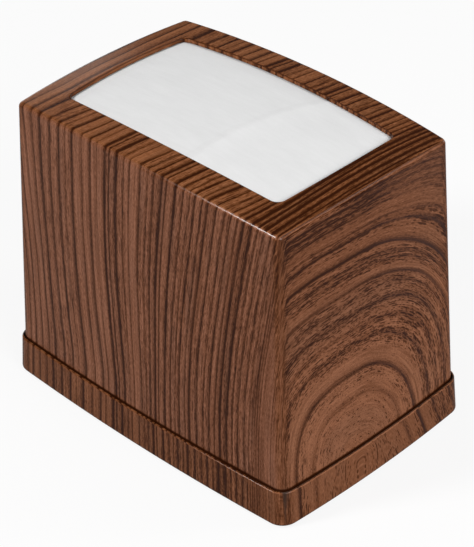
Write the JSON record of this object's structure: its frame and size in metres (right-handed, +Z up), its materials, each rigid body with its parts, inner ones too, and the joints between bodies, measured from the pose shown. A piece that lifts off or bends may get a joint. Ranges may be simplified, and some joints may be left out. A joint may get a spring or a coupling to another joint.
{
  "type": "table napkin holder",
  "caption": "Table napkin holder: a tapered wood-grain cover with bowed walls and a window in its crowned top drops into a base tray, and a sprung plate lifts folded napkins to the window.",
  "frame": {"origin": "on the table under the middle of the holder", "axes": "+X along the length, +Y from front to back, +Z up"},
  "size_m": [0.1954, 0.136, 0.1633],
  "materials": {
    "wood_grain": "satin wood-grain print on moulded plastic",
    "plate_plastic": "moulded, fine texture",
    "napkin": "soft white tissue",
    "spring_wire": "drawn spring wire",
    "clamp_steel": "zinc plated",
    "screw_steel": "zinc plated",
    "foot_rubber": "matte"
  },
  "bodies": {
    "base": {"base_tray": "wood_grain", "foot_front_left": "foot_rubber", "foot_front_right": "foot_rubber", "foot_back_left": "foot_rubber", "foot_back_right": "foot_rubber", "spring_left": "spring_wire", "spring_right": "spring_wire", "base_clamp_left": "clamp_steel", "base_clamp_right": "clamp_steel", "base_clamp_screws": "screw_steel"},
    "cover": {"cover": "wood_grain"},
    "lift_plate": {"lift_plate": "plate_plastic", "napkin_stack": "napkin", "top_napkin": "napkin", "plate_clamp_left": "clamp_steel", "plate_clamp_right": "clamp_steel", "plate_clamp_screws": "screw_steel"}
  },
  "joints": [
    {"name": "cover_lift", "type": "slide", "parent": "base", "child": "cover", "axis": [0, 0, 1], "range_m": [0, 0.16]},
    {"name": "plate_lift", "type": "slide", "parent": "base", "child": "lift_plate", "axis": [0, 0, 1], "range_m": [-0.076, 0], "stiffness_N_per_m": 120, "springref_m": 0.056, "deforming": ["spring_left", "spring_right"]}
  ]
}
